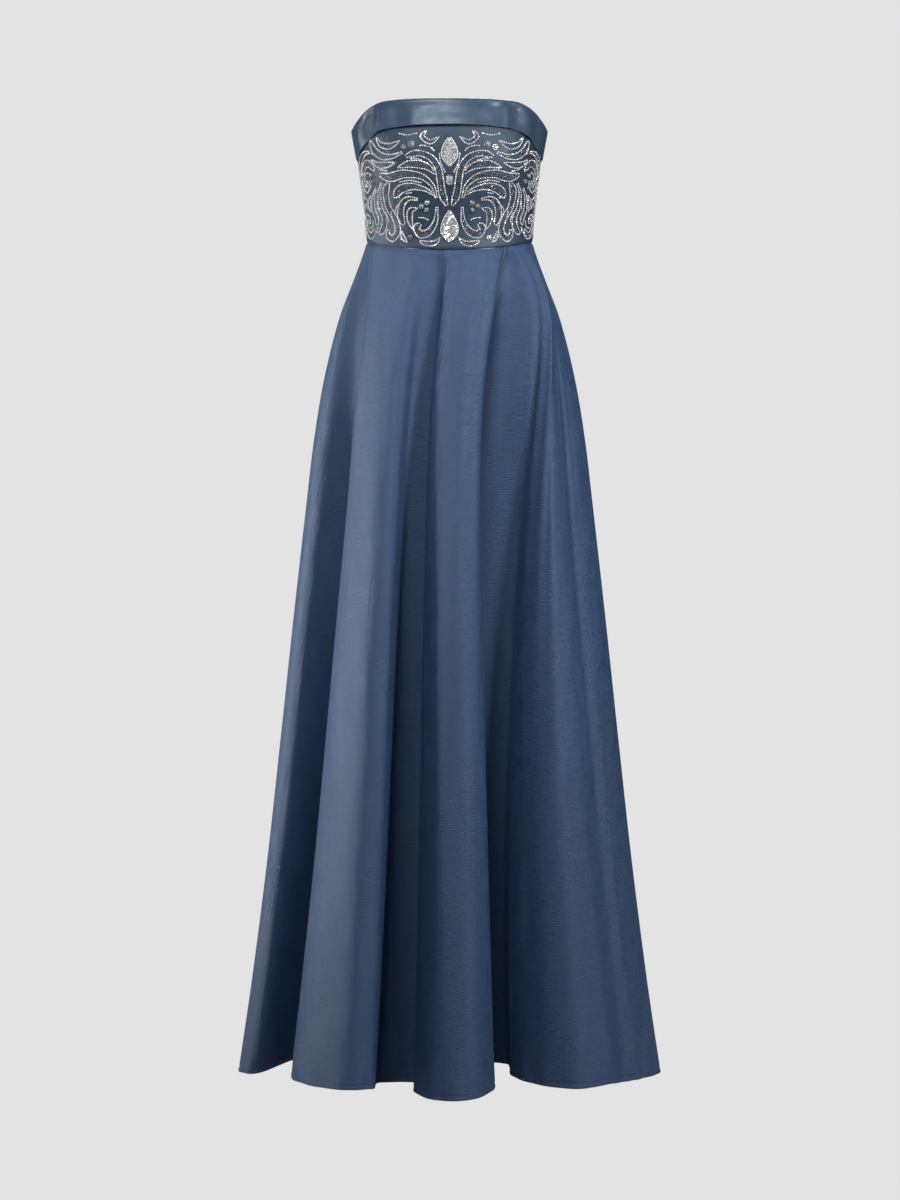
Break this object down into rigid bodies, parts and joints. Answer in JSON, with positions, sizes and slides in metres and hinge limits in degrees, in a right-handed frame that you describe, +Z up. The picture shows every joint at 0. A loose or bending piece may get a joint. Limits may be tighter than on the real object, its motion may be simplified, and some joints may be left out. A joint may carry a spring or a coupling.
{
  "type": "strapless evening gown",
  "caption": "Full-length strapless satin gown with a folded cuff at the neckline, a beaded bodice with princess seams and a flared skirt in deep soft folds, in its worn hollow form.",
  "frame": {"origin": "on the body's axis, level with the top edge of the bodice under the arms, where the wearer's body holds the gown up", "axes": "+Z up, the front of the gown faces -Y, +X to the right of someone who looks at its front"},
  "size_m": [0.592, 0.4194, 1.3519],
  "materials": {
    "skirt_satin": "soft satin with a fine slub, dusty steel blue",
    "bodice_satin": "soft satin, dusty steel blue, under beadwork",
    "cuff_satin": "smooth satin, dusty steel blue",
    "sequins": "silver sequins and beads sewn on a thin plaque",
    "crystal": "clear grey cut stones in flat settings",
    "copper_crystal": "rose copper cut stones in flat settings",
    "zip_tape": "woven tape, dark blue",
    "zip_metal": "dark blue enamel"
  },
  "bodies": {
    "gown": {"bodice_centre_front": "bodice_satin", "bodice_side_front_r": "bodice_satin", "bodice_side_front_l": "bodice_satin", "bodice_back_r": "bodice_satin", "bodice_back_l": "bodice_satin", "cuff_front": "cuff_satin", "cuff_back_r": "cuff_satin", "cuff_back_l": "cuff_satin", "skirt_front": "skirt_satin", "skirt_back_r": "skirt_satin", "skirt_back_l": "skirt_satin", "applique_bud": "sequins", "applique_drop": "sequins", "stone_centre_drop": "crystal", "stone_upper_a_l": "crystal", "stone_upper_a_r": "crystal", "stone_upper_b_l": "crystal", "stone_upper_b_r": "crystal", "stone_cluster_a_l": "crystal", "stone_cluster_a_r": "crystal", "stone_cluster_b_l": "crystal", "stone_cluster_b_r": "crystal", "stone_cluster_c_l": "crystal", "stone_cluster_c_r": "crystal", "stone_low_single_l": "copper_crystal", "stone_low_single_r": "copper_crystal", "stone_side_a_l": "crystal", "stone_side_a_r": "crystal", "stone_side_b_l": "crystal", "stone_side_b_r": "crystal", "zip_tape": "zip_tape", "zip_slider": "zip_metal"},
    "zip_pull": {"zip_pull_tab": "zip_metal"}
  },
  "joints": [
    {"name": "zip_pull_hinge", "type": "hinge", "parent": "gown", "child": "zip_pull", "pos_m": [0, 0.09789, -0.0177], "axis": [1, 0, 0], "range_deg": [-8, 150]}
  ]
}
